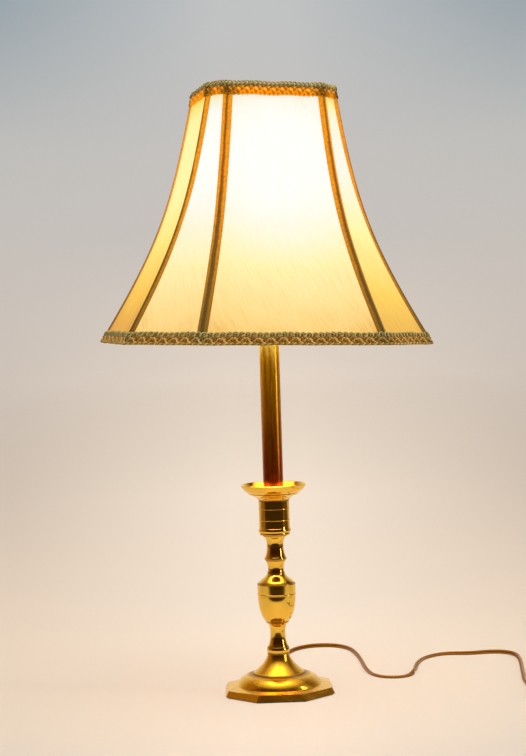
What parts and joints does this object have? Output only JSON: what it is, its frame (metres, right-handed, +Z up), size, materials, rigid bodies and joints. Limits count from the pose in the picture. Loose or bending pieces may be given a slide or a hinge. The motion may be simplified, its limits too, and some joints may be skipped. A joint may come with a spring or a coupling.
{
  "type": "table lamp",
  "caption": "Brass candlestick table lamp with an octagonal foot, drip pan and candle tube, under a cut-corner bell shade of lined fabric with braided edges.",
  "frame": {"origin": "middle of the underside of the foot, where the felt rests on the table", "axes": "+Z up along the stem; the flats of the foot are square to X and Y; the cord leaves at the back, towards +Y; the switch knob points to the front, -Y"},
  "size_m": [0.5377, 0.4456, 0.6642],
  "materials": {
    "brass": "polished",
    "harp_brass": "satin",
    "contact_brass": "satin",
    "steel": "zinc plated",
    "felt": "felt",
    "paper": "pressed paper",
    "phenolic": "moulded",
    "knob": "moulded",
    "bulb_metal": "satin",
    "bulb_glass": "frosted",
    "bulb_stem": "clear",
    "frame_wire": "matt enamel",
    "lining": "satin weave",
    "shade_fabric": "slubbed silk weave",
    "seam_fabric": "folded ribbon",
    "braid": "looped braid",
    "cord": "clear brown insulation",
    "bushing": "moulded",
    "tie": "moulded",
    "plug": "moulded"
  },
  "bodies": {
    "stand": {"foot": "brass", "foot_felt": "felt", "foot_washer": "steel", "foot_nut": "steel", "threaded_rod": "steel", "baluster": "brass", "upper_knop": "brass", "candle_cup": "brass", "drip_pan": "brass", "candle_tube": "brass", "tube_cap": "brass", "harp_saddle": "harp_brass", "saddle_nut": "steel", "harp": "harp_brass", "harp_stud": "brass", "socket_cap": "brass", "socket_shell": "brass", "socket_liner": "paper", "switch_body": "phenolic", "terminal_screws": "contact_brass", "screw_shell": "contact_brass", "centre_contact": "contact_brass", "inner_lead": "cord", "cord_bushing": "bushing", "cord": "cord", "cord_coil": "cord", "cord_tail": "cord", "cord_tie": "tie", "plug_body": "plug", "plug_blades": "contact_brass"},
    "switch": {"switch_shaft": "knob", "switch_knob": "knob"},
    "ferrule_left": {"ferrule_left": "brass"},
    "ferrule_right": {"ferrule_right": "brass"},
    "bulb": {"bulb_base": "bulb_metal", "bulb_contact": "contact_brass", "bulb_glass": "bulb_glass", "bulb_mount": "bulb_stem"},
    "shade": {"spider": "frame_wire", "top_ring": "frame_wire", "bottom_ring": "frame_wire", "shade_ribs": "frame_wire", "shade_lining": "lining", "hem_braid": "braid", "top_braid": "braid", "seam_strips": "seam_fabric", "panel_right": "shade_fabric", "panel_back": "shade_fabric", "panel_left": "shade_fabric", "panel_front": "shade_fabric", "corner_back_right": "shade_fabric", "corner_back_left": "shade_fabric", "corner_front_left": "shade_fabric", "corner_front_right": "shade_fabric"},
    "finial": {"finial": "brass"}
  },
  "joints": [
    {"name": "switch_turn", "type": "hinge", "parent": "stand", "child": "switch", "pos_m": [0, -0.0283, 0.464], "axis": [0, -1, 0], "continuous": true},
    {"name": "ferrule_left_slide", "type": "slide", "parent": "stand", "child": "ferrule_left", "axis": [0, 0, 1], "range_m": [0, 0.009]},
    {"name": "ferrule_right_slide", "type": "slide", "parent": "stand", "child": "ferrule_right", "axis": [0, 0, 1], "range_m": [0, 0.009]},
    {"name": "bulb_turn", "type": "hinge", "parent": "stand", "child": "bulb", "pos_m": [0, 0, 0.49], "axis": [0, 0, 1], "continuous": true},
    {"name": "shade_turn", "type": "hinge", "parent": "stand", "child": "shade", "pos_m": [0, 0, 0.6401], "axis": [0, 0, 1], "continuous": true},
    {"name": "finial_turn", "type": "hinge", "parent": "stand", "child": "finial", "pos_m": [0, 0, 0.65], "axis": [0, 0, 1], "continuous": true}
  ]
}
